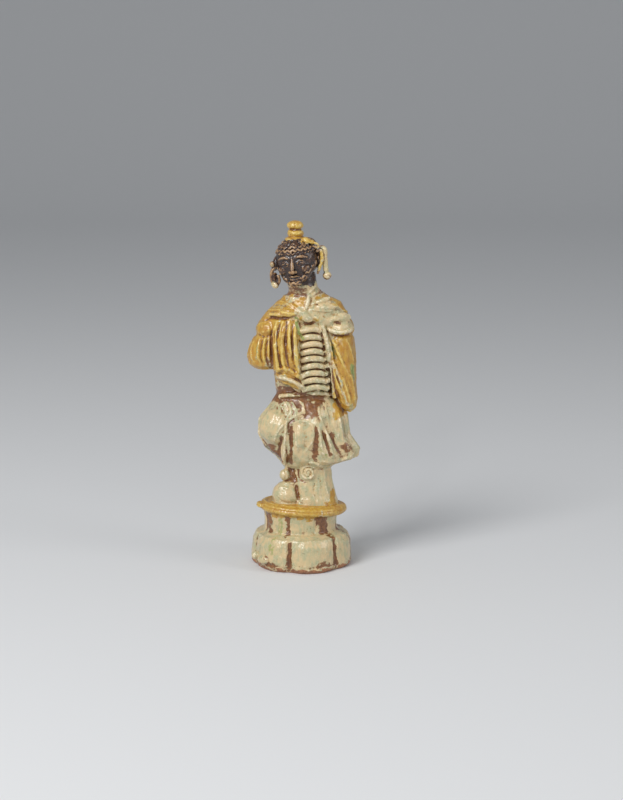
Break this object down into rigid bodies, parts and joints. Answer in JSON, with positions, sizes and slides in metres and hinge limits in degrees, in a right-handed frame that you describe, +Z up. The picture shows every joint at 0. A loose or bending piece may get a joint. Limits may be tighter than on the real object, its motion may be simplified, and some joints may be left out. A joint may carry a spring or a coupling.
{
  "type": "entertainer figure",
  "caption": "Small lead-glazed pottery figure of a standing entertainer with one arm raised in a long sleeve, on a lobed pedestal.",
  "frame": {"origin": "middle of the pedestal's flat underside", "axes": "+Z up to the knot of hair on the crown, -Y towards the viewer the figure faces, +X to that viewer's right"},
  "size_m": [0.0651, 0.0584, 0.2],
  "materials": {
    "glazed_pottery": "glossy lead glaze in cream, amber and leaf green over a red-brown body, worn and pinholed"
  },
  "bodies": {
    "root": {"entertainer_figure": "glazed_pottery"}
  },
  "joints": []
}
